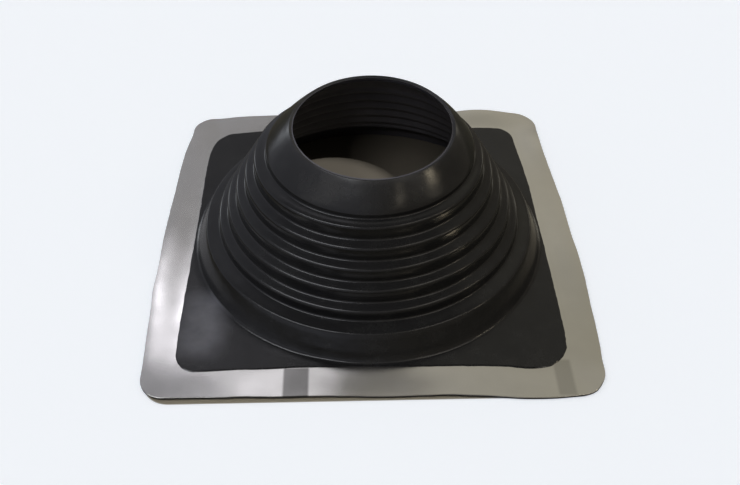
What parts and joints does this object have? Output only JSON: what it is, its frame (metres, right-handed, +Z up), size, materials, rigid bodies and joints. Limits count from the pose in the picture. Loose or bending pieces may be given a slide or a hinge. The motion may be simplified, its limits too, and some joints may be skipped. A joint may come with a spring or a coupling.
{
  "type": "pipe flashing boot",
  "caption": "Stepped black rubber cone, open at top and bottom, on a square pad with a soft aluminium margin; seals a round pipe through a sheet roof.",
  "frame": {"origin": "centre of the underside, on the plane where the sealing ribs meet the roof", "axes": "+Z up along the pipe; +X and +Y along the sides of the square base"},
  "size_m": [0.43, 0.43, 0.1445],
  "materials": {
    "black_rubber": "satin",
    "soft_aluminium": "satin"
  },
  "bodies": {
    "root": {"rubber_boot": "black_rubber", "aluminium_flange": "soft_aluminium"}
  },
  "joints": []
}
